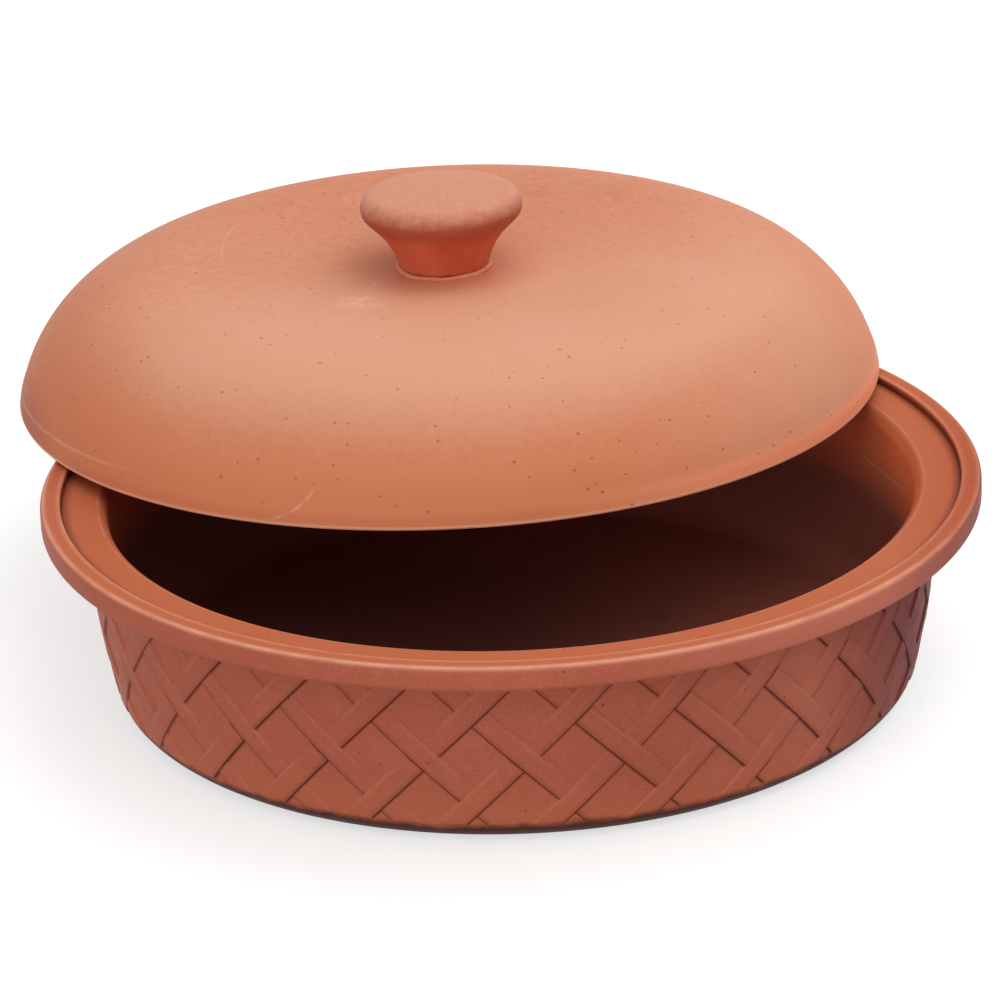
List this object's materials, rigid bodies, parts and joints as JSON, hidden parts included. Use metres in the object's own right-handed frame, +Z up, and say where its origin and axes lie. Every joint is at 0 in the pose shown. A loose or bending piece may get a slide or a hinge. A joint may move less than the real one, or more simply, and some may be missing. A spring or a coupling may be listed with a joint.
{
  "type": "tortilla warmer",
  "caption": "Round terracotta tortilla warmer: a dish with a wide flange and a woven relief round its wall, and a domed lid with a mushroom knob, lying ajar.",
  "frame": {"origin": "centre of the flat foot that the dish stands on", "axes": "+Z up through the dish's centre; +Y the way the lid is drawn back; +X to the right, seen from the front"},
  "size_m": [0.254, 0.3234, 0.1143],
  "materials": {
    "terracotta_dish": "matt, unglazed",
    "terracotta_lid": "matt, unglazed",
    "terracotta_knob": "matt, unglazed, hand smoothed",
    "terracotta_slip": "matt, unglazed"
  },
  "bodies": {
    "dish": {"dish": "terracotta_dish"},
    "lid": {"lid_dome": "terracotta_lid", "lid_knob": "terracotta_knob", "knob_slip_bead": "terracotta_slip"}
  },
  "joints": [
    {"name": "lid_lift", "type": "slide", "parent": "dish", "child": "lid", "axis": [0, 0, 1], "range_m": [0, 0.12]}
  ]
}
